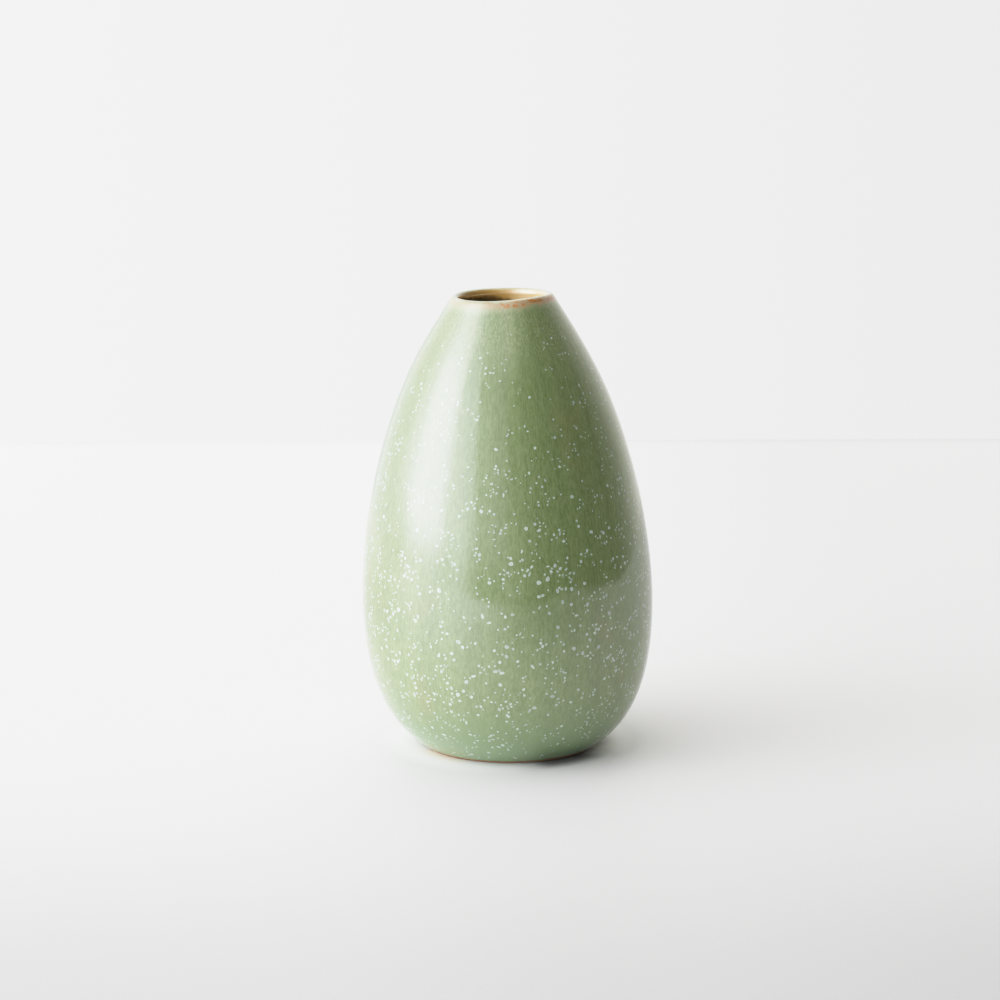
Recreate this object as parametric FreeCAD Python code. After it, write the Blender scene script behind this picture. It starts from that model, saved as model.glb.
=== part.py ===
import FreeCAD, Part
import math
import os

# Ceramic bud vase: one slip-cast stoneware body and the glaze coats fired onto it.
# Every piece is turned about +Z. The origin is the centre of the foot, on the plane it stands on.
# All sizes are in millimetres, as radius from the axis and height above the foot.

# Outer form: the glazed flank, from the glaze's lower edge to where the lip begins to round over.
FLANK = [(27.0, 1.2), (49.3, 16.4), (46.1, 59.7), (33.85, 102.9), (25.4, 111.8), (15.1, 128.6)]

# Lip
HEIGHT = 130.0
CREST_RADIUS = 13.4
MOUTH_RADIUS = 12.2
MOUTH_EDGE_DROP = 2.0  # crest down to where the mouth's wall turns upright
LIP_BAND_HEIGHT = 3.0  # the amber band's reach down the outside
THROAT_LENGTH = 2.5  # upright wall of the mouth

# Cavity
CAVITY_FLARE = [(32.6, 103.4), (40.1, 74.4)]  # middle poles, which keep the wall even
CAVITY_BASE_REACH = 49.5  # radius of the pole that rounds the wall into the floor
FLOOR_TOP = 5.8
FLOOR_RADIUS = 21.0  # flat part of the floor

# Foot
FOOT_RING_OUTER = 26.1
FOOT_RING_INNER = 21.6
FOOT_EDGE_ROUND = 0.8
WELL_EDGE_ROUND = 0.4
WELL_DEPTH = 1.5
WELL_DRAFT = 1.0  # how much the well narrows to its roof

GLAZE = 0.4  # thickness of every coat
SPLINE_STEPS = 24


def point(radius, height):
    return FreeCAD.Vector(radius, 0, height)


def bezier(poles):
    curve = Part.BezierCurve()
    curve.setPoles([point(*pole) for pole in poles])
    return curve


def line(start, end):
    return Part.LineSegment(start, end)


def rounded_corner(start, corner, end):
    """A quarter round between two points that are equally far from their corner."""
    centre = start + end - corner
    middle = centre + (corner - centre).normalize() * start.distanceToPoint(centre)
    return Part.Arc(start, middle, end)


def ends(curve):
    return curve.value(curve.FirstParameter), curve.value(curve.LastParameter)


def parameter_at_height(curve, height):
    """The parameter where a curve that only rises reaches a height."""
    low, high = curve.FirstParameter, curve.LastParameter
    while high - low > 1e-9:
        middle = (low + high) / 2
        if curve.value(middle).z < height:
            low = middle
        else:
            high = middle
    return low


def piece_of(curve, low, high):
    piece = curve.copy()
    piece.segment(low, high)
    return piece


def clay_under(curve):
    """The clay surface one glaze thickness below a glazed one, which runs with the clay on its left."""
    straight = isinstance(curve, Part.LineSegment)
    steps = 1 if straight else SPLINE_STEPS
    first, last = curve.FirstParameter, curve.LastParameter
    parameters = [first + (last - first) * step / steps for step in range(steps + 1)]
    points = []
    for parameter in parameters:
        direction = curve.tangent(parameter)[0]
        inward = FreeCAD.Vector(-direction.z, 0, direction.x)
        points.append(curve.value(parameter) + inward * GLAZE)
    if straight:
        return line(*points)
    spline = Part.BSplineCurve()
    spline.interpolate(Points=points, Parameters=parameters)
    return spline


def turned(curves):
    """The solid turned about +Z from a closed outline of curves in order, whichever way each runs."""
    wire = Part.Wire(Part.__sortEdges__([curve.toShape() for curve in curves]))
    solid = Part.Face(wire).revolve(FreeCAD.Vector(0, 0, 0), FreeCAD.Vector(0, 0, 1), 360)
    if not solid.isValid() or len(solid.Solids) != 1:
        raise ValueError("an outline did not turn into one valid solid")
    return solid.Solids[0]


def outer_flank():
    """The flank below the lip's amber band, and the rest of it inside the band."""
    flank = bezier(FLANK)
    band_edge = parameter_at_height(flank, HEIGHT - LIP_BAND_HEIGHT)
    return piece_of(flank, 0, band_edge), piece_of(flank, band_edge, 1)


def lip_round(flank_top):
    """The lip's glazed section: over the crest from the flank, then into the mouth."""
    start, direction = flank_top.value(flank_top.LastParameter), flank_top.tangent(flank_top.LastParameter)[0]
    rise = HEIGHT - start.z
    shoulder = start + direction * rise / direction.z * 0.75
    outside = bezier([
        (start.x, start.z),
        (shoulder.x, shoulder.z),
        (CREST_RADIUS + 0.8, HEIGHT),
        (CREST_RADIUS, HEIGHT),
    ])
    half_drop = MOUTH_EDGE_DROP / 2
    inside = bezier([
        (CREST_RADIUS, HEIGHT),
        (CREST_RADIUS - half_drop, HEIGHT),
        (MOUTH_RADIUS, HEIGHT - half_drop),
        (MOUTH_RADIUS, HEIGHT - MOUTH_EDGE_DROP),
    ])
    return outside, inside


def cavity_wall():
    """The liner's surface, from the throat out round the belly to the flat of the floor."""
    throat_end = HEIGHT - MOUTH_EDGE_DROP - THROAT_LENGTH
    return bezier(
        [(MOUTH_RADIUS, throat_end), (MOUTH_RADIUS, throat_end - 1.9)]
        + CAVITY_FLARE
        + [(CAVITY_BASE_REACH, FLOOR_TOP), (FLOOR_RADIUS, FLOOR_TOP)]
    )


def foot_section():
    """The bare clay foot, from the middle of the well out over the ring to its outer edge."""
    well_rim = point(FOOT_RING_INNER - WELL_DRAFT, WELL_DEPTH)
    inner_start = point(FOOT_RING_INNER, WELL_EDGE_ROUND)
    inner_end = point(FOOT_RING_INNER + WELL_EDGE_ROUND, 0)
    outer_start = point(FOOT_RING_OUTER - FOOT_EDGE_ROUND, 0)
    outer_end = point(FOOT_RING_OUTER, FOOT_EDGE_ROUND)
    return [
        line(point(0, WELL_DEPTH), well_rim),
        line(well_rim, inner_start),
        rounded_corner(inner_start, point(FOOT_RING_INNER, 0), inner_end),
        line(inner_end, outer_start),
        rounded_corner(outer_start, point(FOOT_RING_OUTER, 0), outer_end),
    ], outer_end


def stoneware_body(flank, flank_top, lip_outside, lip_inside, cavity):
    """The one clay piece: foot ring, floor, wall, lip and throat."""
    foot, foot_top = foot_section()
    clay = [clay_under(curve) for curve in (flank, flank_top, lip_outside, lip_inside)]
    clay_cavity = clay_under(cavity)
    floor_centre = point(0, FLOOR_TOP - GLAZE)
    outline = foot + [line(foot_top, ends(clay[0])[0])] + clay
    outline.append(line(ends(clay[-1])[1], ends(clay_cavity)[0]))
    outline.append(clay_cavity)
    outline.append(line(ends(clay_cavity)[1], floor_centre))
    outline.append(line(floor_centre, point(0, WELL_DEPTH)))
    return turned(outline)


def coat(glazed):
    """A closed glaze coat over a run of curves, down to the clay under each."""
    clay = [clay_under(curve) for curve in glazed]
    return turned(
        glazed
        + clay
        + [
            line(ends(glazed[0])[0], ends(clay[0])[0]),
            line(ends(glazed[-1])[1], ends(clay[-1])[1]),
        ]
    )


def lip_glaze(flank_top, lip_outside, lip_inside, cavity):
    """The amber coat, from its lower edge outside, over the lip and down the throat."""
    throat = line(ends(lip_inside)[1], ends(cavity)[0])
    return coat([flank_top, lip_outside, lip_inside, throat])


def liner_glaze(cavity):
    """The coat of the cavity's wall and floor."""
    floor = line(ends(cavity)[1], point(0, FLOOR_TOP))
    return coat([cavity, floor])


def foot_well_glaze():
    """The glazed roof of the shallow well inside the foot ring."""
    well_slope = WELL_DRAFT / (WELL_DEPTH - WELL_EDGE_ROUND)
    roof_rim = point(FOOT_RING_INNER - WELL_DRAFT, WELL_DEPTH)
    face_rim = point(roof_rim.x + GLAZE * well_slope, WELL_DEPTH - GLAZE)
    roof_centre = point(0, WELL_DEPTH)
    face_centre = point(0, WELL_DEPTH - GLAZE)
    return turned([
        line(roof_centre, roof_rim),
        line(roof_rim, face_rim),
        line(face_rim, face_centre),
        line(face_centre, roof_centre),
    ])


flank, flank_top = outer_flank()
lip_outside, lip_inside = lip_round(flank_top)
cavity = cavity_wall()
nodes = {
    "stoneware_body": stoneware_body(flank, flank_top, lip_outside, lip_inside, cavity),
    "outer_glaze": coat([flank]),
    "lip_glaze": lip_glaze(flank_top, lip_outside, lip_inside, cavity),
    "liner_glaze": liner_glaze(cavity),
    "foot_well_glaze": foot_well_glaze(),
}
os.makedirs("parts", exist_ok=True)
for name, solid in nodes.items():
    solid.exportStep(f"parts/{name}.step")
    print(f"{name}: {solid.Volume / 1000:.2f} cm3, {len(solid.Faces)} faces")
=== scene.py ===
import math

import bpy
import numpy as np
from mathutils import Matrix, Vector


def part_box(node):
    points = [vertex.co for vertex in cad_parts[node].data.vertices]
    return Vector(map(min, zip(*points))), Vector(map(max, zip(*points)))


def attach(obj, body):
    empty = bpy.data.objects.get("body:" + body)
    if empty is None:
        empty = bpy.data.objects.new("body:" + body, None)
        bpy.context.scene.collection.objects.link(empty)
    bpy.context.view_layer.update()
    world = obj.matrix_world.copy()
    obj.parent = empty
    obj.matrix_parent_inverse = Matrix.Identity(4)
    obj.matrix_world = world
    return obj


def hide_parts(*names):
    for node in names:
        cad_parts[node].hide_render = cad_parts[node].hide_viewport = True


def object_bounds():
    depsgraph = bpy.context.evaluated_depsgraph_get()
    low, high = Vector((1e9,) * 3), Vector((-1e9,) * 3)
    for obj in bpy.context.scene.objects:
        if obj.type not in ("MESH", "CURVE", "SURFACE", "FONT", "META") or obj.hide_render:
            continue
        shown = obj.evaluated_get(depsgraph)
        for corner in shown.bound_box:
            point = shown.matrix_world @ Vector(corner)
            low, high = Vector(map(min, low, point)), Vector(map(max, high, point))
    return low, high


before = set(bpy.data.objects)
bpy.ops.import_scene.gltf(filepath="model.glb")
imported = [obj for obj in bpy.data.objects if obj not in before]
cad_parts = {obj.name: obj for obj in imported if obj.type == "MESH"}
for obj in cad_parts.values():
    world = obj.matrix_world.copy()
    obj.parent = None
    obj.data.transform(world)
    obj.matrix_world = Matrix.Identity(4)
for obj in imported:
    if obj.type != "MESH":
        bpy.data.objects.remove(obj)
cad_low, cad_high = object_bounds()

# Shape functions work in millimetres, as radius from the axis and height above the foot.
MM = 0.001

# Poles (radius, height) of the glazed flank, from the glaze's lower edge to where the lip rounds over
FLANK = [(27.0, 1.2), (49.3, 16.4), (46.1, 59.7), (33.85, 102.9), (25.4, 111.8), (15.1, 128.6)]
HEIGHT = cad_high.z / MM
CREST_RADIUS = 13.4
MOUTH_RADIUS = 12.2
MOUTH_EDGE_DROP = 2.0
THROAT_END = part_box("liner_glaze")[1].z / MM
THROAT_RUN_ON = 1.9  # how far the cavity goes straight on down from the throat before it widens
CAVITY_FLARE = [(32.6, 103.4), (40.1, 74.4)]
CAVITY_BASE_RADIUS = 49.5
FLOOR_TOP = 5.8
FLOOR_RADIUS = 21.0
FOOT_RING_OUTER = 26.1
FOOT_RING_INNER = 21.6
FOOT_EDGE_ROUND = 0.8
WELL_EDGE_ROUND = 0.4
WELL_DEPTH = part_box("foot_well_glaze")[1].z / MM
WELL_DRAFT = 1.0
GLAZE = 0.4
CLAY_FLANK_START = 1.25  # where the clay's rounded foot edge runs into the wall under the glaze

# Radii of the rings that the flat faces underneath are meshed with
WELL_ROOF_RINGS = (7.0, 14.0)
FOOT_FACE_RINGS = (23.2, 24.4)

# The table's edges, in metres, and its sheen
TABLE_BACK = 0.474
TABLE_FRONT = -0.45
TABLE_LEFT = -1.6
TABLE_RIGHT = 0.56
TABLE_THICKNESS = 0.02
TABLE_EDGE_SHADE = 14  # mm in from the back edge over which the table darkens
TABLE_SHEEN = 1.5  # the window's light on the table, as the vase reflects it
TABLE_SHEEN_TINT = (0.97, 1.0, 1.12, 1.0)
# The direction from the vase's axis to where the painted shadow on the table is deepest, beside the foot
PAINTED_SHADOW_TOWARD = (0.6, -0.8)  # from the vase's axis to where the table is darkest, beside the foot

# As-fired unevenness
LEAN = -0.0145  # sideways shift towards +X per unit of height
LEAN_PIVOT = 43.0  # height that the lean leaves in place
RIM_START = 110.0  # the rim's waviness fades in above this height
RIM_TILT = 0.40  # how much the rim rises towards +X
RIM_BUMPS = [(-48, 34, 0.30), (-125, 40, -0.12), (128, 50, 0.22)]  # angle and width in degrees, rise in mm
# Swells of the wall: size in mm, waves round, twist per mm of height, start
WALL_SWELLS = [(0.030, 3, 0.08, 0.4), (0.022, 5, -0.13, 2.1), (0.014, 8, 0.21, 4.0)]

SEGMENTS = 256
WIDEST_RADIUS = 41.0  # the girth that patterns round the wall are sized on
FAR_FROM_CREST = 100.0  # the crest distance given to places that only show the plain green


def smoothstep(low, high, value):
    share = np.clip((value - low) / (high - low), 0, 1)
    return share * share * (3 - 2 * share)


# ---------------------------------------------------------------- the glazed outline

def bezier(poles, shares):
    """Points on a Bezier curve at parameter values, which may run a little past 0 and 1."""
    degree = len(poles) - 1
    total = 0
    for index, pole in enumerate(poles):
        weight = math.comb(degree, index) * (1 - shares) ** (degree - index) * shares**index
        total = total + weight[:, None] * np.array(pole, float)
    return total


def glazed_outline():
    """The whole glazed line in order: flank, lip, throat, cavity wall and floor, closely spaced."""
    end, before = np.array(FLANK[-1]), np.array(FLANK[-2])
    slope = (end - before) / (end[1] - before[1])
    shoulder = end + slope * (HEIGHT - end[1]) * 0.75
    outside = [tuple(end), tuple(shoulder), (CREST_RADIUS + 0.8, HEIGHT), (CREST_RADIUS, HEIGHT)]
    half_drop = MOUTH_EDGE_DROP / 2
    inside = [
        (CREST_RADIUS, HEIGHT),
        (CREST_RADIUS - half_drop, HEIGHT),
        (MOUTH_RADIUS, HEIGHT - half_drop),
        (MOUTH_RADIUS, HEIGHT - MOUTH_EDGE_DROP),
    ]
    throat = [(MOUTH_RADIUS, HEIGHT - MOUTH_EDGE_DROP), (MOUTH_RADIUS, THROAT_END)]
    cavity = [(MOUTH_RADIUS, THROAT_END), (MOUTH_RADIUS, THROAT_END - THROAT_RUN_ON)]
    cavity += CAVITY_FLARE + [(CAVITY_BASE_RADIUS, FLOOR_TOP), (FLOOR_RADIUS, FLOOR_TOP)]
    floor = [(FLOOR_RADIUS, FLOOR_TOP), (0.0, FLOOR_TOP)]
    stretches = [
        bezier(FLANK, np.linspace(-0.02, 1, 3000)),
        bezier(outside, np.linspace(0, 1, 300)[1:]),
        bezier(inside, np.linspace(0, 1, 200)[1:]),
        bezier(throat, np.linspace(0, 1, 60)[1:]),
        bezier(cavity, np.linspace(0, 1, 3000)[1:]),
        bezier(floor, np.linspace(0, 1, 400)[1:]),
    ]
    return np.vstack(stretches), [len(stretch) for stretch in stretches]


OUTLINE, STRETCH_LENGTHS = glazed_outline()
REACH = np.concatenate([[0], np.cumsum(np.hypot(*np.diff(OUTLINE, axis=0).T))])
FACING = np.gradient(OUTLINE, REACH, axis=0)[:, ::-1] * np.array([1, -1])
FACING /= np.hypot(*FACING.T)[:, None]
CREST = float(REACH[sum(STRETCH_LENGTHS[:2]) - 1])
THROAT_REACH = float(REACH[sum(STRETCH_LENGTHS[:4]) - 1])
CENTRE_REACH = float(REACH[-1])
INNERMOST_REACH = CENTRE_REACH - 1.0  # the last whole ring before the middle of the floor
FLANK_ROWS = STRETCH_LENGTHS[0]


def reach_at_height(height):
    """How far along the outline the flank is at a height."""
    return np.interp(height, OUTLINE[:FLANK_ROWS, 1], REACH[:FLANK_ROWS])


def rim_rise(theta):
    """How much higher the fired rim stands at each angle."""
    def bump(centre_degrees, width_degrees):
        away = (theta - math.radians(centre_degrees) + math.pi) % (2 * math.pi) - math.pi
        return np.exp(-((away / math.radians(width_degrees)) ** 2))

    rise = RIM_TILT * np.cos(theta)
    for centre_degrees, width_degrees, bump_rise in RIM_BUMPS:
        rise = rise + bump_rise * bump(centre_degrees, width_degrees)
    return rise


def unevenness(theta, height):
    """Slow swells of the cast wall, in and out."""
    swell = 0.0
    for size, waves, twist, start in WALL_SWELLS:
        swell = swell + size * np.sin(waves * theta + twist * height + start)
    return swell * smoothstep(0, 20, height) * (1 - smoothstep(100, 125, height))


def surface(reach, theta, depth=0.0):
    """Points in metres at a distance along the glazed outline and an angle, depth mm under the glaze."""
    reach, theta, depth = np.broadcast_arrays(reach, theta, depth)
    radius = np.interp(reach, REACH, OUTLINE[:, 0]) - depth * np.interp(reach, REACH, FACING[:, 0])
    height = np.interp(reach, REACH, OUTLINE[:, 1]) - depth * np.interp(reach, REACH, FACING[:, 1])
    return fired(radius, theta, height)


def fired(radius, theta, height):
    """A point of the perfectly round form, moved to where the fired piece has it, in metres."""
    radius = np.maximum(radius, 0)
    radius = radius + unevenness(theta, height) * smoothstep(0, 10, radius)
    x = radius * np.cos(theta) + LEAN * (height - LEAN_PIVOT)
    y = radius * np.sin(theta)
    z = height + rim_rise(theta) * smoothstep(RIM_START, HEIGHT - 1, height)
    return np.stack([x, y, z], axis=-1) * MM


def ring_noise(theta, seed, waves, size):
    """A gentle random line round the piece, made of whole waves so that it closes."""
    rng = np.random.default_rng(seed)
    line = np.zeros_like(theta)
    for wave in waves:
        line = line + rng.normal() / math.sqrt(wave) * np.cos(wave * theta + rng.uniform(0, 2 * math.pi))
    return line * size


ANGLES = np.linspace(0, 2 * math.pi, SEGMENTS, endpoint=False)


def level_ring(radius, height):
    """One ring of points of the fired form that the round form has at one height."""
    return fired(np.broadcast_to(radius, SEGMENTS), ANGLES, np.full(SEGMENTS, height))


def axis_point(height):
    """A ring of one point, on the axis."""
    return fired(np.zeros(1), np.zeros(1), np.array([height]))


def foot_edge(theta):
    """Where the glaze stops above the foot, along the outline."""
    return reach_at_height(0.72) + ring_noise(theta, 3, range(2, 14), 0.09)


def band_edge(theta):
    """Where the green coat gives way to the lip's coat, along the outline."""
    return reach_at_height(HEIGHT - 3.0) + ring_noise(theta, 5, range(2, 12), 0.05)


# ---------------------------------------------------------------- meshes

def mesh_piece(name, points, faces, material, attributes=None):
    """A smooth closed mesh object riding on the vase; the callers turn its faces outwards."""
    mesh = bpy.data.meshes.new(name)
    mesh.from_pydata(points.tolist(), [], faces)
    for key, values in (attributes or {}).items():
        mesh.attributes.new(key, "FLOAT", "POINT").data.foreach_set("value", values.astype(np.float32))
    mesh.materials.append(material)
    mesh.validate()
    mesh.shade_smooth()
    mesh.set_sharp_from_angle(angle=math.radians(40))
    piece = bpy.data.objects.new(name, mesh)
    bpy.context.scene.collection.objects.link(piece)
    return piece


def lathe(name, rings, material, crest_distance=None):
    """A closed solid from rings of points in order. A ring of one point is a pole on the axis."""
    starts = np.cumsum([0] + [len(ring) for ring in rings])
    closed = len(rings[0]) > 1
    pairs = list(zip(range(len(rings)), range(1, len(rings))))
    if closed:
        pairs.append((len(rings) - 1, 0))
    faces = []
    for here, after in pairs:
        first, second = int(starts[here]), int(starts[after])
        for index in range(SEGMENTS):
            beside = (index + 1) % SEGMENTS
            if len(rings[here]) == 1:
                faces.append((first, second + index, second + beside))
            elif len(rings[after]) == 1:
                faces.append((first + index, second, first + beside))
            else:
                faces.append((first + index, second + index, second + beside, first + beside))
    points = np.vstack(rings)
    attributes = {}
    if crest_distance is not None:
        attributes["crest_mm"] = np.concatenate(
            [np.broadcast_to(value, len(ring)) for value, ring in zip(crest_distance, rings)]
        )
    piece = mesh_piece(name, points, faces, material, attributes)
    turn_outwards(piece.data)
    return piece


def turn_outwards(mesh):
    """Flips a closed mesh whose faces point inwards."""
    mesh.calc_loop_triangles()
    corners = np.empty(len(mesh.loop_triangles) * 3, np.int32)
    mesh.loop_triangles.foreach_get("vertices", corners)
    points = np.empty(len(mesh.vertices) * 3, np.float32)
    mesh.vertices.foreach_get("co", points)
    a, b, c = points.reshape(-1, 3)[corners.reshape(-1, 3)].transpose(1, 0, 2).astype(float)
    if np.einsum("ij,ij->i", a, np.cross(b, c)).sum() < 0:
        mesh.flip_normals()


def coat(name, start, end, rows, material, rounded_foot=False):
    """A glaze coat as a closed shell between two lines round the outline."""
    rings = []
    crest_distance = []
    bead_rise, bead_place, bead_width = 0.16, 0.7, 0.6

    def add(reach, depth):
        rings.append(surface(reach, ANGLES, depth))
        crest_distance.append(CREST - reach)

    def bead(reach):
        """The depth, less than nothing, where the glaze gathered above the foot and stands proud."""
        if not rounded_foot:
            return 0.0
        return -bead_rise * np.exp(-(((reach - start - bead_place) / bead_width) ** 2))

    shares = np.linspace(0, 1, rows)
    if rounded_foot:
        shares = shares**1.15  # rows closer together at the foot
        # The rounded lower edge, from the clay's side out
        for turn in np.linspace(math.pi, 0, 9)[1:-1]:
            reach = start - GLAZE * 0.6 * math.sin(turn)
            add(reach, GLAZE / 2 * (1 - math.cos(turn)) + bead(start) * (1 + math.cos(turn)) / 2)
    for share in shares:
        reach = start + (end - start) * share
        add(reach, bead(reach))
    for share in np.linspace(1, 0, max(rows // 4, 6)):
        add(start + (end - start) * share, GLAZE)
    return lathe(name, rings, material, crest_distance)


# ---------------------------------------------------------------- materials

def srgb(red, green, blue):
    """A linear colour from 0 to 255 display values."""
    values = np.array([red, green, blue]) / 255
    linear = np.where(values <= 0.04045, values / 12.92, ((values + 0.055) / 1.055) ** 2.4)
    return (*[float(value) for value in linear], 1.0)


class Maker:
    """Short calls for building the nodes of a material, a light or the world."""

    def __init__(self, owner):
        owner.use_nodes = True
        self.owner = owner
        self.tree = owner.node_tree
        self.tree.nodes.clear()

    def node(self, kind, inputs=None, **settings):
        made = self.tree.nodes.new(kind)
        for key, value in settings.items():
            setattr(made, key, value)
        for key, value in (inputs or {}).items():
            if isinstance(value, bpy.types.NodeSocket):
                self.tree.links.new(value, made.inputs[key])
            else:
                made.inputs[key].default_value = value
        return made

    def calc(self, operation, *values):
        return self.node("ShaderNodeMath", dict(enumerate(values)), operation=operation).outputs[0]

    def times(self, product, *factors):
        for factor in factors:
            product = self.calc("MULTIPLY", product, factor)
        return product

    def parts(self, vector):
        """The x, y and z of a vector."""
        return self.node("ShaderNodeSeparateXYZ", {0: vector}).outputs

    def step(self, value, low, high, to_low=0.0, to_high=1.0):
        """A value taken smoothly from low..high to to_low..to_high, and held level outside them."""
        inputs = {"Value": value, "From Min": low, "From Max": high, "To Min": to_low, "To Max": to_high}
        return self.node("ShaderNodeMapRange", inputs, interpolation_type="SMOOTHSTEP").outputs[0]

    def steps(self, value, stops):
        """The level between stops, which are in degrees, at a value that is a share of 180 degrees."""
        ramp = self.node("ShaderNodeFloatCurve", {"Value": value})
        curve = ramp.mapping.curves[0]
        top = max(level for _, level in stops)
        for place, level in stops[1:-1]:
            curve.points.new(place / 180, level / top)
        curve.points[0].location = (0.0, stops[0][1] / top)
        curve.points[-1].location = (1.0, stops[-1][1] / top)
        for point in curve.points:
            point.handle_type = "VECTOR"
        ramp.mapping.update()
        return self.times(ramp.outputs[0], top)

    def mix(self, share, first, second):
        inputs = {0: share, 6: first, 7: second}
        return self.node("ShaderNodeMix", inputs, data_type="RGBA").outputs[2]

    def shade(self, colour, amount):
        """A colour made brighter or darker by a factor about 1."""
        return self.node("ShaderNodeVectorMath", {0: colour, "Scale": amount}, operation="SCALE").outputs[0]

    def attribute(self, name):
        return self.node("ShaderNodeAttribute", attribute_name=name).outputs["Fac"]

    def noise(self, place, scale, detail=3.0, roughness=0.5):
        inputs = {"Vector": place, "Scale": scale, "Detail": detail, "Roughness": roughness}
        return self.node("ShaderNodeTexNoise", inputs).outputs["Fac"]

    def cells(self, place, scale):
        inputs = {"Vector": place, "Scale": scale, "Randomness": 1.0}
        return self.node("ShaderNodeTexVoronoi", inputs).outputs["Distance"]

    def place(self):
        """Where a point is on the object, in millimetres."""
        where = self.node("ShaderNodeTexCoord").outputs["Object"]
        return self.node("ShaderNodeVectorMath", {0: where, "Scale": 1 / MM}, operation="SCALE").outputs[0]

    def wall_place(self, stretch):
        """A place that changes round the wall as on its widest girth, and slowly with height."""
        x, y, z = self.parts(self.place())
        flat = self.node("ShaderNodeCombineXYZ", {0: x, 1: y}).outputs[0]
        outward = self.node("ShaderNodeVectorMath", {0: flat}, operation="NORMALIZE").outputs[0]
        girth_inputs = {0: outward, "Scale": WIDEST_RADIUS}
        girth = self.node("ShaderNodeVectorMath", girth_inputs, operation="SCALE").outputs[0]
        girth_x, girth_y, _ = self.parts(girth)
        along = self.times(z, stretch)
        return self.node("ShaderNodeCombineXYZ", {0: girth_x, 1: girth_y, 2: along}).outputs[0]

    def finish(self, colour, roughness, bump, bump_mm, more=None):
        """Completes the material, with more values or links for the shader's inputs by name."""
        bump_inputs = {"Height": bump, "Distance": bump_mm * MM, "Strength": 1.0}
        normal = self.node("ShaderNodeBump", bump_inputs).outputs[0]
        inputs = {"Base Color": colour, "Roughness": roughness, "Normal": normal, **(more or {})}
        shader = self.node("ShaderNodeBsdfPrincipled", inputs)
        self.node("ShaderNodeOutputMaterial", {"Surface": shader.outputs[0]})
        return self.owner


GLAZE_IOR = 1.92
GREEN = srgb(118, 134, 87)
GREEN_PALE = srgb(138, 151, 105)
GREEN_DEEP = srgb(99, 116, 67)
GREEN_FOOT = srgb(118, 143, 98)
OCHRE = srgb(141, 132, 85)
SAGE = srgb(160, 164, 125)
TAN = srgb(176, 149, 112)
CREST_PALE = srgb(175, 183, 149)
RUST = srgb(176, 116, 56)
AMBER = srgb(190, 151, 84)
# A painted highlight on the amber inside the mouth
AMBER_PAINTED_HIGHLIGHT = srgb(216, 182, 132)
BROWN = srgb(112, 86, 46)
OLIVE = srgb(54, 50, 32)
FLECK = srgb(191, 206, 194)
FLECK_CORE = srgb(176, 189, 178)
CLAY = srgb(154, 122, 88)
CLAY_DARK = srgb(140, 104, 70)
CLAY_GRIT = srgb(96, 66, 42)
TABLE = (0.545, 0.54, 0.53, 1.0)
# The colour of the painted reflection of the clay on the table
TABLE_CLAY_REFLECTION = (0.60, 0.53, 0.45, 1.0)


def glaze_colour(make):
    """The glaze all over: streaked green, paler and then tan towards the lip, amber to olive in the mouth."""
    place = make.place()
    x, _, height = make.parts(place)
    crest = make.attribute("crest_mm")
    colour = green_streaks(make, place)
    # Painted light: lighter low down, and lighter still just above the foot; and a cooler green where the
    # glaze is thick at the foot
    colour = make.shade(colour, make.step(height, 48.0, 24.0, 1.0, 1.08))
    colour = make.shade(colour, make.step(height, 9.0, 1.0, 1.0, 1.25))
    colour = make.mix(make.step(height, 24.0, 3.0, 0.0, 0.85), colour, GREEN_FOOT)
    # Pale crystals crowd together in the last centimetres below the lip
    crystals = make.cells(make.wall_place(0.75), 1.4)
    crowd = make.times(make.step(crystals, 0.50, 0.20), make.step(crest, 26.0, 8.0))
    colour = make.mix(make.times(crowd, 0.65), colour, SAGE)
    # The band under the crest, stronger to the right, with a wandering lower edge; its tan is paler on the
    # left as painted light from the window
    wander = make.noise(place, 0.35, 3.0, 0.6)
    edge = make.calc("ADD", crest, make.step(wander, 0.2, 0.8, -0.7, 0.7))
    colour = make.mix(make.step(edge, 5.2, 3.0, 0.0, 0.6), colour, SAGE)
    # Painted light: the tan is weaker on the window side
    strength = make.step(x, -9.0, 1.0, 0.5, 0.95)
    colour = make.mix(make.times(make.step(edge, 3.5, 2.3), strength), colour, TAN)
    colour = rust_marks(make, place, colour, crest, x)
    colour = make.mix(make.step(edge, 1.3, 0.3, 0.0, 0.9), colour, CREST_PALE)
    return mouth_colours(make, place, colour, crest, x)


def green_streaks(make, place):
    """The main green: fine streaks down the wall, broad paler and darker patches, faint ochre clouds."""
    fine = make.noise(make.wall_place(0.26), 1.7, 3.0, 0.6)
    grain = make.noise(make.wall_place(0.55), 2.6, 2.0, 0.6)
    broad = make.noise(make.wall_place(0.06), 0.22, 3.0, 0.5)
    cloud = make.noise(place, 0.055, 2.0, 0.5)
    wisps = make.calc("ADD", make.times(fine, 0.65), make.times(grain, 0.35))
    colour = make.mix(make.step(wisps, 0.38, 0.62), GREEN_DEEP, GREEN_PALE)
    colour = make.mix(0.5, colour, GREEN)
    colour = make.shade(colour, make.step(broad, 0.3, 0.7, 0.94, 1.06))
    return make.mix(make.step(cloud, 0.60, 0.78, 0.0, 0.3), colour, OCHRE)


def rust_marks(make, place, colour, crest, x):
    """Broken rust-brown marks along a line in the tan band, nearer the crest towards the right."""
    spots = make.noise(place, 0.55, 4.0, 0.65)
    line = make.calc("SUBTRACT", crest, make.step(x, 2.0, 8.0, 2.1, 1.3))
    in_band = make.step(make.calc("ABSOLUTE", line), 1.1, 0.6)
    marked = make.times(make.step(spots, 0.50, 0.55), make.step(x, -4.0, -2.0))
    return make.mix(make.times(marked, in_band, 0.95), colour, RUST)


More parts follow.
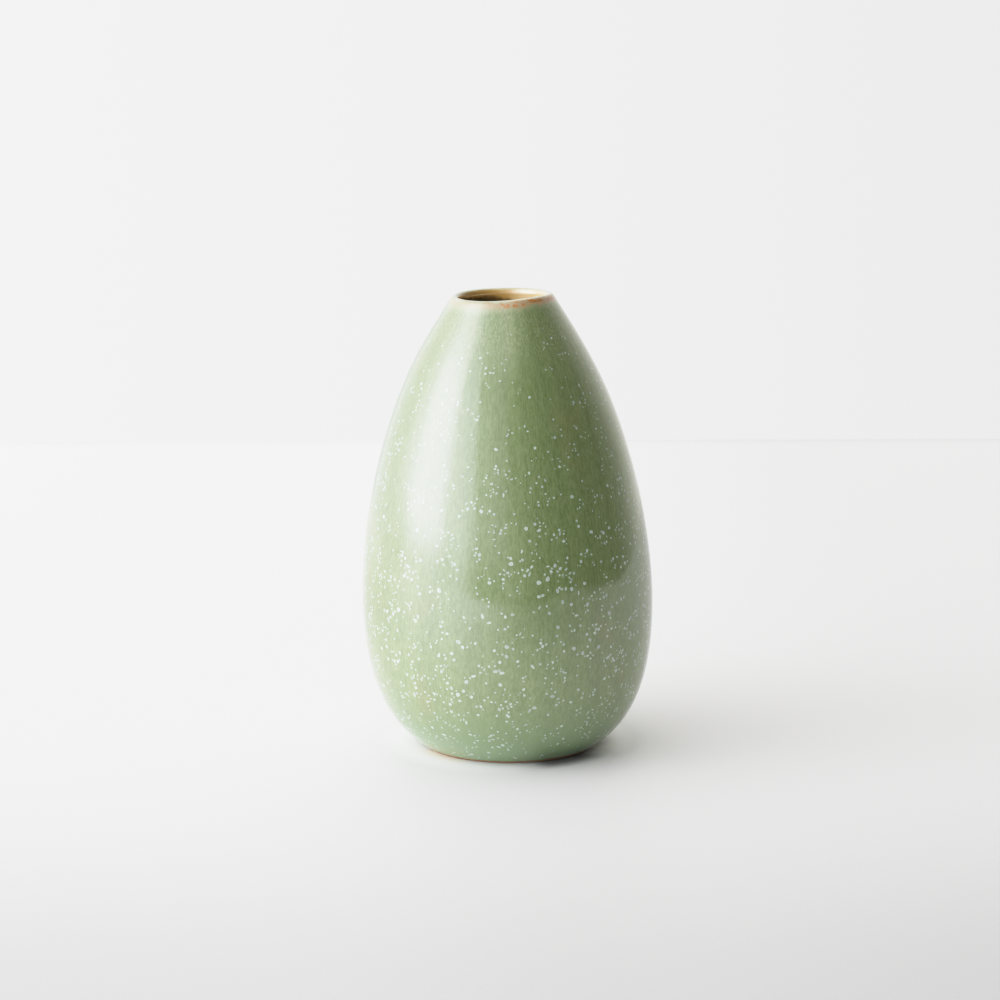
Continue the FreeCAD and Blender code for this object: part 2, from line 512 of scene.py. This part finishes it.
def mouth_colours(make, place, colour, crest, x):
    """Past the crest: amber, paler to the right as a painted highlight, then brown and olive, which start
    deeper to the right and so leave painted shade on the left.
    """
    # Painted highlight: the amber turns paler to the right, where the inner wall reflects the window
    amber = make.mix(make.step(x, -1.0, 5.0), AMBER, AMBER_PAINTED_HIGHLIGHT)
    colour = make.mix(make.step(crest, -0.5, -1.2), colour, amber)
    mottle = make.noise(place, 0.4, 3.0, 0.6)
    inside = make.calc("ADD", crest, make.step(mottle, 0.2, 0.8, -0.3, 0.3))
    # Painted shade: the brown and olive start higher on the left, where the inner wall faces away from the
    # window
    inside = make.calc("ADD", inside, make.step(x, -8.0, 4.0, 0.0, 1.6))
    colour = make.mix(make.step(inside, -1.7, -3.2), colour, BROWN)
    return make.mix(make.step(inside, -2.5, -4.6), colour, OLIVE)


def glaze(name):
    """The glossy coat, faintly rippled down the wall and pitted."""
    make = Maker(bpy.data.materials.new(name))
    colour = glaze_colour(make)
    ripple = make.noise(make.wall_place(0.25), 0.35, 2.0, 0.5)
    pits = make.noise(make.wall_place(0.15), 1.6, 2.0, 0.5)
    relief = make.calc("ADD", make.times(ripple, 0.8), make.times(pits, 0.2))
    roughness = make.step(make.noise(make.place(), 0.4, 3.0, 0.6), 0.3, 0.7, 0.06, 0.12)
    return make.finish(colour, roughness, relief, 0.05, {"IOR": GLAZE_IOR})


def fleck_glaze():
    """The pale flecks: duller in the middle of large ones, greener at the rim, no two quite the same."""
    make = Maker(bpy.data.materials.new("fleck_glaze"))
    colour = make.mix(make.attribute("core"), FLECK, FLECK_CORE)
    colour = make.shade(colour, make.step(make.attribute("tone"), 0.0, 1.0, 0.76, 1.02))
    colour = make.mix(make.step(make.attribute("edge"), 0.1, 1.0, 0.0, 0.75), colour, GREEN_PALE)
    grain = make.noise(make.place(), 4.0, 2.0, 0.5)
    colour = make.shade(colour, make.step(grain, 0.3, 0.7, 0.96, 1.03))
    return make.finish(colour, 0.12, grain, 0.004, {"IOR": GLAZE_IOR})


def bare_clay():
    """The fired clay: dull, gritty, with darker specks."""
    make = Maker(bpy.data.materials.new("bare_clay"))
    grit = make.noise(make.place(), 2.6, 4.0, 0.65)
    dots = make.cells(make.place(), 1.1)
    colour = make.mix(make.step(grit, 0.3, 0.7), CLAY_DARK, CLAY)
    colour = make.mix(make.step(dots, 0.16, 0.08, 0.0, 0.7), colour, CLAY_GRIT)
    roughness = make.step(grit, 0.3, 0.7, 0.72, 0.9)
    return make.finish(colour, roughness, grit, 0.10)


def painted_foot_shadow_and_light(make, x, y, distance):
    """Painted shadow and light on the table close to the foot: a painted shadow in the gap at the front
    right, painted light to either side.
    """
    toward_painted_shadow = make.calc("ADD", make.times(x, PAINTED_SHADOW_TOWARD[0]), make.times(y, PAINTED_SHADOW_TOWARD[1]))
    facing = make.calc("DIVIDE", toward_painted_shadow, distance)
    # Painted shadow in the gap at the front right, and painted light to either side
    painted_shadow = make.times(make.step(facing, 0.91, 0.985), make.step(distance, 35.0, 28.5, 0.0, 0.72))
    beside = make.times(make.step(facing, 0.92, 0.82), make.step(distance, 38.0, 30.0))
    light = make.times(beside, make.step(x, 0.0, 25.0, 0.22, 0.45))
    return make.calc("ADD", make.calc("SUBTRACT", 1.0, painted_shadow), light)


def floor_white():
    """The pale table. In the vase's reflections its left part also shows the window's sheen on it."""
    make = Maker(bpy.data.materials.new("floor_white"))
    place = make.place()
    x, y, _ = make.parts(place)
    distance = make.calc("SQRT", make.calc("ADD", make.times(x, x), make.times(y, y)))
    tooth = make.noise(place, 0.9, 4.0, 0.6)
    reflected = make.node("ShaderNodeLightPath").outputs["Is Glossy Ray"]
    reflection_painted_dimmer = make.times(reflected, make.step(x, -40.0, 40.0, 0.0, 0.15))
    # Painted light and shade on the table: darker away from the window and towards the camera, lighter next
    # to the window, darker along the back edge, dimmer on the right as the vase reflects it, and round the
    # foot
    tone = make.times(
        make.step(tooth, 0.3, 0.7, 0.992, 1.008),
        make.step(x, -60.0, 150.0, 1.08, 0.82),  # darker away from the window
        make.step(y, -20.0, -220.0, 1.0, 0.66),  # darker towards the camera
        make.step(x, -450.0, -150.0, 1.42, 1.0),  # lighter next to the window
        make.step(y, TABLE_BACK / MM - TABLE_EDGE_SHADE, TABLE_BACK / MM, 1.0, 0.87),
        make.calc("SUBTRACT", 1.0, reflection_painted_dimmer),
        # painted shadow and light round the foot
        painted_foot_shadow_and_light(make, x, y, distance),
    )
    # Painted reflection of the clay on the table, just in front of the foot on the left
    clay_reflection = make.times(
        make.step(y, -10.0, -14.0), make.step(x, -9.0, -17.0), make.step(distance, 31.0, 26.0)
    )
    colour = make.shade(make.mix(clay_reflection, TABLE, TABLE_CLAY_REFLECTION), tone)
    sheen = make.times(
        reflected, make.step(x, -200.0, 60.0, TABLE_SHEEN, 0.0), make.step(y, -180.0, 120.0, 1.0, 0.1)
    )
    return make.finish(
        colour, 0.55, tooth, 0.05, {"Emission Color": TABLE_SHEEN_TINT, "Emission Strength": sheen}
    )


# ---------------------------------------------------------------- the vase

def clay_body():
    """The clay piece under the coats: foot ring, outer wall, lip, cavity and floor."""
    quarter_turn = math.pi / 2
    well_radius = FOOT_RING_INNER - WELL_DRAFT
    rings = [axis_point(WELL_DEPTH)]
    for radius in (*WELL_ROOF_RINGS, well_radius - 0.2, well_radius):
        rings.append(level_ring(radius, WELL_DEPTH))
    round_centre = FOOT_RING_INNER + WELL_EDGE_ROUND
    for turn in np.linspace(0, quarter_turn, 6):
        radius = round_centre - WELL_EDGE_ROUND * math.cos(turn)
        rings.append(level_ring(radius, WELL_EDGE_ROUND * (1 - math.sin(turn))))
    for radius in FOOT_FACE_RINGS:
        rings.append(level_ring(radius, 0.0))
    round_centre = FOOT_RING_OUTER - FOOT_EDGE_ROUND
    for turn in np.linspace(quarter_turn, 0, 9):
        radius = round_centre + FOOT_EDGE_ROUND * math.cos(turn)
        rings.append(level_ring(radius, FOOT_EDGE_ROUND * (1 - math.sin(turn))))
    outer_start = reach_at_height(CLAY_FLANK_START)
    for reach in outer_start + (INNERMOST_REACH - outer_start) * np.linspace(0, 1, 140):
        rings.append(surface(reach, ANGLES, GLAZE))
    rings.append(axis_point(FLOOR_TOP - GLAZE))
    return lathe("clay_body", rings, bare_clay())


def liner(material):
    """The coat inside, a closed shell that comes together at the middle of the floor."""
    shares = np.linspace(0, 1, 150) ** 1.1  # rows closer together in the throat
    reaches = THROAT_REACH + (INNERMOST_REACH - THROAT_REACH) * shares
    under = reaches[::-5]
    rings = [axis_point(FLOOR_TOP - GLAZE)]
    rings += [surface(reach, ANGLES, GLAZE) for reach in under]
    rings += [surface(reach, ANGLES) for reach in reaches]
    rings.append(axis_point(FLOOR_TOP))
    crest_distance = CREST - np.array([CENTRE_REACH, *under, *reaches, CENTRE_REACH])
    return lathe("inside_glaze", rings, material, crest_distance)


def foot_well(material):
    """The glazed roof of the well under the foot, with its edge drawn up to the ring's slope."""
    rim = FOOT_RING_INNER - WELL_DRAFT
    edge = rim - 0.1 + ring_noise(ANGLES, 9, range(2, 12), 0.08)
    rings = [axis_point(WELL_DEPTH)]
    for radius in (*WELL_ROOF_RINGS, rim - 0.3):
        rings.append(level_ring(radius, WELL_DEPTH))
    for turn in np.linspace(math.pi / 2, 0, 6):
        rings.append(level_ring(edge + GLAZE * math.sin(turn) * 0.5, WELL_DEPTH - GLAZE * math.cos(turn)))
    for radius in reversed(WELL_ROOF_RINGS):
        rings.append(level_ring(radius, WELL_DEPTH - GLAZE))
    rings.append(axis_point(WELL_DEPTH - GLAZE))
    return lathe("foot_glaze", rings, material, [FAR_FROM_CREST] * len(rings))


# ---------------------------------------------------------------- flecks

FLECKS = 4000
FLECK_CORNERS = 12
# Heights above the foot, and how crowded and how large the flecks are there against the usual
FLECK_HEIGHTS = [0, 4, 12, 25, 45, 58, 66, 78, 88, 100, 114, 124]
FLECK_CROWDING = [0.9, 1.0, 1.0, 0.95, 0.95, 1.0, 0.82, 0.70, 0.62, 0.56, 0.34, 0.0]
FLECK_GROWTH = [0.8, 0.85, 0.95, 1.06, 1.12, 1.10, 1.02, 0.92, 0.85, 0.8, 0.75, 0.75]
# How many flecks lie together, and how often
FAMILY_SIZES = [1, 2, 3, 4, 6]
FAMILY_CHANCES = [0.62, 0.19, 0.10, 0.06, 0.03]
FLECK_SIZE = 0.34  # the usual radius
FLECK_SIZE_SPREAD = 0.30
FLECK_SIZE_LIMITS = (0.16, 0.66)
PAIR_CHANCE = 0.13
# Rings of a fleck's lens: share of its outline, and depth under the glaze
FLECK_RINGS = [(1.0, 0.008), (0.68, -0.009)]
FLECK_TOP_DEPTH = -0.012
FLECK_UNDER_DEPTH = 0.04
FLECK_POINTS = FLECK_CORNERS * len(FLECK_RINGS) + 2
CORED_SIZES = (0.42, 0.62)  # the duller core fades in over these radii


def outline_radius(reach):
    return np.interp(reach, REACH, OUTLINE[:, 0])


def fleck_places(rng):
    """Scattered and clustered fleck centres, with sizes, that hardly run into each other."""
    low, high = float(reach_at_height(1.8)), float(reach_at_height(HEIGHT - 5))
    taken = np.zeros((0, 3))
    places = []
    sizes = []
    while len(places) < FLECKS:
        reach = rng.uniform(low, high)
        theta = rng.uniform(-math.pi, math.pi)
        height = np.interp(reach, REACH, OUTLINE[:, 1])
        crowding = np.interp(height, FLECK_HEIGHTS, FLECK_CROWDING) * outline_radius(reach) / 42
        if rng.uniform() > crowding:
            continue
        for _ in range(rng.choice(FAMILY_SIZES, p=FAMILY_CHANCES)):
            size = float(np.clip(rng.lognormal(math.log(FLECK_SIZE), FLECK_SIZE_SPREAD), *FLECK_SIZE_LIMITS))
            size *= float(np.interp(height, FLECK_HEIGHTS, FLECK_GROWTH))
            spot = surface(reach, theta) / MM
            clear = np.linalg.norm(taken - spot, axis=1) > (np.array(sizes) + size) * 0.92
            if low < reach < high and np.all(clear):
                taken = np.vstack([taken, spot])
                places.append((reach, theta))
                sizes.append(size)
            # The next of the family lies a little way off in any direction.
            aim, gap = rng.uniform(0, 2 * math.pi), size + rng.uniform(0.4, 1.7)
            reach = reach + gap * math.sin(aim)
            theta = theta + gap * math.cos(aim) / outline_radius(reach)
    return np.array(places[:FLECKS]), np.array(sizes[:FLECKS])


def fleck_outline(rng, size):
    """Offsets of one fleck's edge from its centre: round, oval, or a waisted pair run together."""
    turn = np.linspace(0, 2 * math.pi, FLECK_CORNERS, endpoint=False)
    stretch = 1 + abs(rng.normal(0, 0.22))
    waist = 0.0
    if rng.uniform() < PAIR_CHANCE:
        stretch = rng.uniform(1.5, 2.1)
        waist = rng.uniform(0.0, 0.25)
    edge = 1 + 0.09 * np.cos(2 * turn + rng.uniform(0, 6)) + 0.07 * np.cos(3 * turn + rng.uniform(0, 6))
    edge = edge * (1 - waist * np.sin(turn) ** 2)
    along = size * edge * np.cos(turn) * math.sqrt(stretch)
    across = size * edge * np.sin(turn) / math.sqrt(stretch)
    aim = rng.uniform(0, math.pi)
    return along * math.cos(aim) - across * math.sin(aim), along * math.sin(aim) + across * math.cos(aim)


def flecks(material):
    """Pale spots in the glaze, each a very low closed lens that follows the wall under it."""
    rng = np.random.default_rng(21)
    places, sizes = fleck_places(rng)
    points = []
    faces = []
    core = []
    edge_share = []
    tone = []
    for number, ((reach, theta), size) in enumerate(zip(places, sizes)):
        up, beside = fleck_outline(rng, size)
        radius = outline_radius(reach)
        base = number * FLECK_POINTS
        for share, depth in FLECK_RINGS:
            points.append(surface(reach + up * share, theta + beside * share / radius, depth))
            core.append(np.full(FLECK_CORNERS, 0.0))
            edge_share.append(np.full(FLECK_CORNERS, share == 1.0))
        points.append(surface(reach, theta, FLECK_TOP_DEPTH)[None])
        points.append(surface(reach, theta, FLECK_UNDER_DEPTH)[None])
        core.append(np.array([smoothstep(*CORED_SIZES, size), 0.0]))
        edge_share.append(np.zeros(2))
        tone.append(np.full(FLECK_POINTS, rng.uniform()))
        top, under = base + FLECK_POINTS - 2, base + FLECK_POINTS - 1
        for index in range(FLECK_CORNERS):
            after = (index + 1) % FLECK_CORNERS
            edge, edge_after = base + index, base + after
            inner, inner_after = edge + FLECK_CORNERS, edge_after + FLECK_CORNERS
            faces.append((edge, inner, inner_after, edge_after))
            faces.append((inner, top, inner_after))
            faces.append((edge, edge_after, under))
    attributes = {
        "core": np.concatenate(core),
        "edge": np.concatenate(edge_share),
        "tone": np.concatenate(tone),
    }
    piece = mesh_piece("glaze_flecks", np.vstack(points), faces, material, attributes)
    turn_outwards(piece.data)
    return piece


# ---------------------------------------------------------------- assembly

glaze_material = glaze("green_glaze")
clay = clay_body()
outer = coat("outer_coat", foot_edge(ANGLES), band_edge(ANGLES), 200, glaze_material, rounded_foot=True)
lip = coat("lip_coat", band_edge(ANGLES), np.full(SEGMENTS, THROAT_REACH), 60, glaze_material)
inside = liner(glaze_material)
well = foot_well(glaze_material)
spots = flecks(fleck_glaze())

for piece, node, slot in (
    (clay, "stoneware_body", "bare_stoneware"),
    (outer, "outer_glaze", "green_glaze"),
    (lip, "lip_glaze", "amber_glaze"),
    (inside, "liner_glaze", "liner_glaze"),
    (well, "foot_well_glaze", "green_glaze"),
):
    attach(piece, "root")
    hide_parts(node)
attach(spots, "root")


# ---------------------------------------------------------------- camera

CAMERA_PLACE = (-0.00206, -0.850, 0.2458)
CAMERA_PITCH = math.radians(11.64)  # looking down
CAMERA_ROLL = math.radians(-0.23)


def reference_camera():
    """The photo's view: a level direction along +Y, pitched down, then rolled about the line of sight."""
    data = bpy.data.cameras.new("camera")
    data.lens = 109.1
    data.sensor_width = 36.0
    data.clip_start = 0.01
    camera = bpy.data.objects.new("camera", data)
    bpy.context.scene.collection.objects.link(camera)
    forward = Vector((0, math.cos(CAMERA_PITCH), -math.sin(CAMERA_PITCH)))
    level_right = Vector((1, 0, 0))
    level_up = Vector((0, math.sin(CAMERA_PITCH), math.cos(CAMERA_PITCH)))
    right = level_right * math.cos(CAMERA_ROLL) + level_up * math.sin(CAMERA_ROLL)
    up = level_up * math.cos(CAMERA_ROLL) - level_right * math.sin(CAMERA_ROLL)
    turn = Matrix((right, up, -forward)).transposed()
    camera.matrix_world = Matrix.Translation(CAMERA_PLACE) @ turn.to_4x4()
    bpy.context.scene.camera = camera


# ---------------------------------------------------------------- stage and light

# Brightness of the room at bearings round from the camera's side, in degrees
WINDOW_SIDE = [
    (0, 1.46), (8, 1.6), (15, 1.85), (24, 2.1), (28, 2.4), (35, 3.5), (44, 4.1), (50, 4.2), (53, 5.4),
    (61, 7.5), (80, 7.9), (88, 7.0), (98, 4.5), (112, 2.75), (127, 2.1), (150, 2.1), (180, 2.1),
]
FAR_SIDE = [
    (0, 0.85), (6, 0.48), (20, 0.2), (32, 0.05), (62, 0.03), (85, 0.09),
    (98, 0.12), (112, 0.32), (128, 0.75), (148, 1.2), (180, 1.3),
]
# The share of the window side's light that is left below the horizon, at the same bearings
BELOW_HORIZON = [(0, 0.5), (26, 0.5), (36, 0.68), (47, 0.66), (58, 0.5), (95, 0.5), (118, 1.0), (180, 1.0)]
OVERHEAD = 0.85
WINDOW_TINT = (0.975, 1.0, 1.085, 1.0)
ROOM_TINT = (1.02, 1.0, 0.95, 1.0)

# The ring of soft lights that only the table gets
FILL_LIGHTS = 8
FILL_LEVEL = 1.12
FILL_DISTANCE = 1.0
FILL_HEIGHT = 0.85
FILL_SIZE = 1.0
FILL_TINT = (1.0, 0.99, 0.95)
FILL_DARK_SIDE = math.radians(50)  # the fill is weakest at the front right, this far round from the right
FILL_LEAN = 0.95  # how much weaker it is there, as a share

# Scene light against what the picture shows of it, both linear
TONE = [
    (0, 0), (0.2, 0.2), (0.4, 0.4), (0.6, 0.57), (0.8, 0.71),
    (1.0, 0.80), (1.3, 0.875), (1.8, 0.93), (2.5, 0.97), (4, 1),
]
TONE_TOP = 4.0


def slab(name, low, high, material):
    """A closed box of the stage."""
    corners = [(x, y, z) for x in (low[0], high[0]) for y in (low[1], high[1]) for z in (low[2], high[2])]
    sides = [(0, 1, 3, 2), (4, 6, 7, 5), (0, 4, 5, 1), (2, 3, 7, 6), (0, 2, 6, 4), (1, 5, 7, 3)]
    mesh = bpy.data.meshes.new(name)
    mesh.from_pydata(corners, [], sides)
    mesh.materials.append(material)
    made = bpy.data.objects.new(name, mesh)
    bpy.context.scene.collection.objects.link(made)
    return made


def shown(red, green, blue):
    """The scene light, as a colour, that the picture shows as these display values."""
    light, level = np.array(TONE).T
    return (*[float(np.interp(value, level, light)) for value in srgb(red, green, blue)[:3]], 1.0)


def stage():
    slab("table", (TABLE_LEFT, TABLE_FRONT, -TABLE_THICKNESS), (TABLE_RIGHT, TABLE_BACK, 0.0), floor_white())


def table_fill():
    """Low soft light from all round that falls on the table alone, as off the pale walls of a room."""
    tables = bpy.data.collections.new("tables")
    tables.objects.link(bpy.data.objects["table"])
    for index in range(FILL_LIGHTS):
        turn = 2 * math.pi * index / FILL_LIGHTS
        data = bpy.data.lights.new(f"table_fill_{index}", "AREA")
        data.size = FILL_SIZE
        data.color = FILL_TINT
        level = FILL_LEVEL * (1 - FILL_LEAN * math.cos(turn + FILL_DARK_SIDE))
        data.energy = level * math.pi * FILL_SIZE**2
        light = bpy.data.objects.new(f"table_fill_{index}", data)
        bpy.context.scene.collection.objects.link(light)
        light.location = (FILL_DISTANCE * math.cos(turn), FILL_DISTANCE * math.sin(turn), FILL_HEIGHT)
        light.rotation_euler = (-light.location).to_track_quat("-Z", "Y").to_euler()
        light.visible_camera = False
        light.visible_glossy = False
        light.light_linking.receiver_collection = tables


def surroundings():
    """A tall window on the left, a bright wall behind, dim elsewhere. The camera sees a plain backdrop."""
    world = bpy.data.worlds.new("room")
    bpy.context.scene.world = world
    make = Maker(world)
    toward = make.node("ShaderNodeTexCoord").outputs["Generated"]
    x, y, z = make.parts(toward)
    from_front = make.calc("ARCTAN2", make.calc("ABSOLUTE", x), make.times(y, -1.0))
    bearing = make.calc("DIVIDE", from_front, math.pi)
    window = make.times(
        make.steps(bearing, WINDOW_SIDE),
        make.step(z, -0.06, 0.12, make.steps(bearing, BELOW_HORIZON), 1.0),
        make.step(z, 0.48, 1.0, 1.0, 0.0),  # fading out towards the ceiling
        make.step(x, -0.44, -0.39, 1.0, 0.65),  # dimmer where it turns towards the camera or the back
    )
    on_left = make.calc("LESS_THAN", x, 0.0)
    left = make.times(window, on_left)
    right = make.times(make.steps(bearing, FAR_SIDE), make.calc("SUBTRACT", 1.0, on_left))
    overhead = make.times(make.step(z, 0.6, 0.82), make.step(x, 0.6, 0.1, 0.0, OVERHEAD))
    level = make.calc("ADD", make.calc("ADD", left, right), overhead)
    room = make.shade(make.mix(make.step(x, -0.2, 0.2), WINDOW_TINT, ROOM_TINT), level)
    backdrop = make.mix(make.step(x, -0.4, 0.4), shown(244, 244, 244), shown(232, 232, 232))
    camera_ray = make.node("ShaderNodeLightPath").outputs["Is Camera Ray"]
    background = make.node("ShaderNodeBackground", {"Color": make.mix(camera_ray, room, backdrop)})
    make.node("ShaderNodeOutputWorld", {"Surface": background.outputs[0]})


def picture_tone():
    """The camera's response: true in the darks, and rolling off gently in the highlights."""
    view = bpy.context.scene.view_settings
    view.view_transform = "Standard"
    view.use_curve_mapping = True
    mapping = view.curve_mapping
    mapping.white_level = (TONE_TOP, TONE_TOP, TONE_TOP)
    curve = mapping.curves[3]
    for light, level in TONE[1:-1]:
        curve.points.new(light / TONE_TOP, level)
    curve.points[-1].location = (1.0, 1.0)
    mapping.update()


reference_camera()
stage()
table_fill()
surroundings()
picture_tone()
